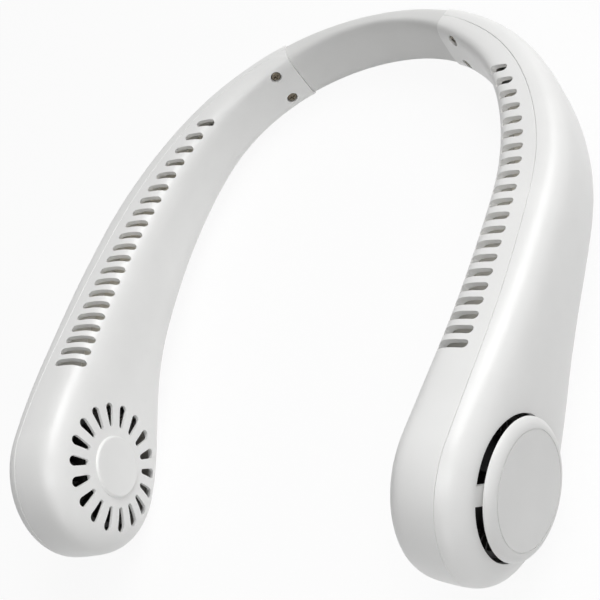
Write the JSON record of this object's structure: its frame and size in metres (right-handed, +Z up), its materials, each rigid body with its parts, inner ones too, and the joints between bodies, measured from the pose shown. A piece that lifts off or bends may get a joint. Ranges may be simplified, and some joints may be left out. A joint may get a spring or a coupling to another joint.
{
  "type": "neck fan",
  "caption": "White wearable neck fan: hollow curved arms with slotted air ducts and round blower ends, joined behind the neck by a bendable band.",
  "frame": {"origin": "under the middle of the fan's box, on the surface that it lies on", "axes": "+Z up from that surface, -Y towards the open fronts of the arms, +Y towards the neck band, +X towards the arm that carries the button"},
  "size_m": [0.1972, 0.2168, 0.0591],
  "materials": {
    "shell_white": "satin",
    "cap_white": "satin",
    "band_silicone": "matte",
    "inner_plastic": "matte",
    "scroll_grey": "matte",
    "rotor_black": "satin",
    "plate_black": "matte",
    "button_grey": "satin",
    "switch_black": "matte",
    "connector_white": "matte",
    "cable_black": "satin",
    "cable_red": "satin",
    "board_green": "satin",
    "battery_pouch": "satin",
    "foam_grey": "matte",
    "motor_can": "satin",
    "screw_steel": "satin",
    "spring_steel": "satin",
    "port_steel": "polished",
    "lens_clear": "gloss"
  },
  "bodies": {
    "left_arm": {"left_band_insert": "inner_plastic", "left_battery": "battery_pouch", "left_battery_leads": "cable_red", "left_battery_pad": "foam_grey", "left_blower_scroll": "scroll_grey", "left_duct_divider": "inner_plastic", "left_harness_plug": "connector_white", "left_inner_shell": "shell_white", "left_intake_cap": "cap_white", "left_motor": "motor_can", "left_motor_leads": "cable_black", "left_motor_plate": "plate_black", "left_motor_screws": "screw_steel", "left_outer_shell": "shell_white", "left_shell_screws": "screw_steel", "neck_band": "band_silicone", "band_core_strip": "spring_steel", "band_harness": "cable_black"},
    "right_arm": {"right_band_insert": "inner_plastic", "right_battery": "battery_pouch", "right_battery_leads": "cable_red", "right_battery_pad": "foam_grey", "right_blower_scroll": "scroll_grey", "right_duct_divider": "inner_plastic", "right_harness_plug": "connector_white", "right_inner_shell": "shell_white", "right_intake_cap": "cap_white", "right_motor": "motor_can", "right_motor_leads": "cable_black", "right_motor_plate": "plate_black", "right_motor_screws": "screw_steel", "right_outer_shell": "shell_white", "right_shell_screws": "screw_steel", "main_board": "board_green", "board_screws": "screw_steel", "tact_switch": "switch_black", "usb_shell": "port_steel", "usb_tongue": "switch_black", "indicator_lens": "lens_clear", "harness_tail": "cable_black"},
    "left_rotor": {"left_impeller": "rotor_black", "left_motor_shaft": "screw_steel"},
    "right_rotor": {"right_impeller": "rotor_black", "right_motor_shaft": "screw_steel"},
    "button": {"power_button": "button_grey", "switch_plunger": "rotor_black"}
  },
  "joints": [
    {"name": "neck_flex", "type": "hinge", "parent": "left_arm", "child": "right_arm", "pos_m": [0, 0.10409, 0.01156], "axis": [0, 0.1335, 0.9911], "range_deg": [-10, 25], "stiffness_Nm_per_rad": 1.5, "deforming": ["neck_band", "band_core_strip", "band_harness"]},
    {"name": "left_fan_spin", "type": "hinge", "parent": "left_arm", "child": "left_rotor", "pos_m": [-0.07838, -0.07785, 0.0288], "axis": [-0.9877, -0.155, 0.0209], "continuous": true},
    {"name": "right_fan_spin", "type": "hinge", "parent": "right_arm", "child": "right_rotor", "pos_m": [0.07838, -0.07785, 0.0288], "axis": [0.9877, -0.155, 0.0209], "continuous": true},
    {"name": "power_press", "type": "slide", "parent": "right_arm", "child": "button", "axis": [0.0174, 0.0509, 0.9986], "range_m": [0, 0.0005], "stiffness_N_per_m": 1500}
  ]
}
